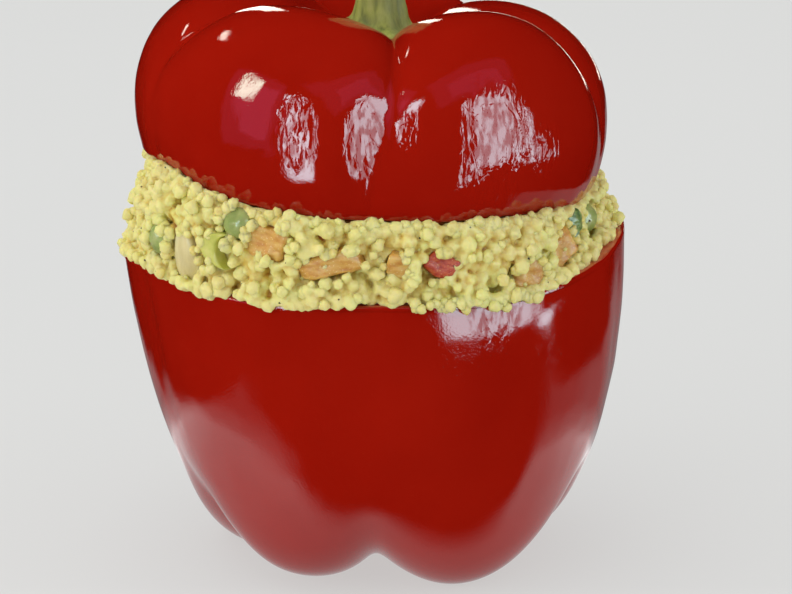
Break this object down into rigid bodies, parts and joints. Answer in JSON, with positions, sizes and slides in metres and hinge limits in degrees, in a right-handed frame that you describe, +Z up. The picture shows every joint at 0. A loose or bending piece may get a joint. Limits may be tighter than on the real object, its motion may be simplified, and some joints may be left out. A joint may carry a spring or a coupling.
{
  "type": "stuffed bell pepper",
  "caption": "Red bell pepper standing upright, heaped with couscous, peas and diced vegetables, its stemmed lid set back on top.",
  "frame": {"origin": "on the surface it stands on, at the axis of the pepper", "axes": "+Z up along the pepper's axis towards the stem, -Y towards the front, where two lobes meet in a groove"},
  "size_m": [0.0897, 0.0897, 0.1183],
  "materials": {
    "skin": "glossy roasted pepper skin",
    "stem": "satin ribbed stem",
    "couscous": "moist yellow grain",
    "pea": "moist pea skin",
    "carrot": "moist cut carrot",
    "onion": "cooked translucent onion",
    "celery": "moist cut stalk",
    "red_bit": "moist cut pepper",
    "green_bit": "moist cut pepper"
  },
  "bodies": {
    "root": {"pepper_cup": "skin", "pepper_lid": "skin", "stem": "stem", "filling": "couscous", "pea_1": "pea", "pea_2": "pea", "pea_3": "pea", "pea_4": "pea", "pea_5": "pea", "pea_6": "pea", "pea_7": "pea", "carrot_1": "carrot", "carrot_2": "carrot", "carrot_3": "carrot", "carrot_4": "carrot", "carrot_5": "carrot", "carrot_6": "carrot", "carrot_7": "carrot", "carrot_8": "carrot", "carrot_9": "carrot", "onion_1": "onion", "onion_2": "onion", "onion_3": "onion", "celery_1": "celery", "celery_2": "celery", "red_bit_1": "red_bit", "red_bit_2": "red_bit", "red_bit_3": "red_bit", "green_bit_1": "green_bit", "green_bit_2": "green_bit"}
  },
  "joints": []
}
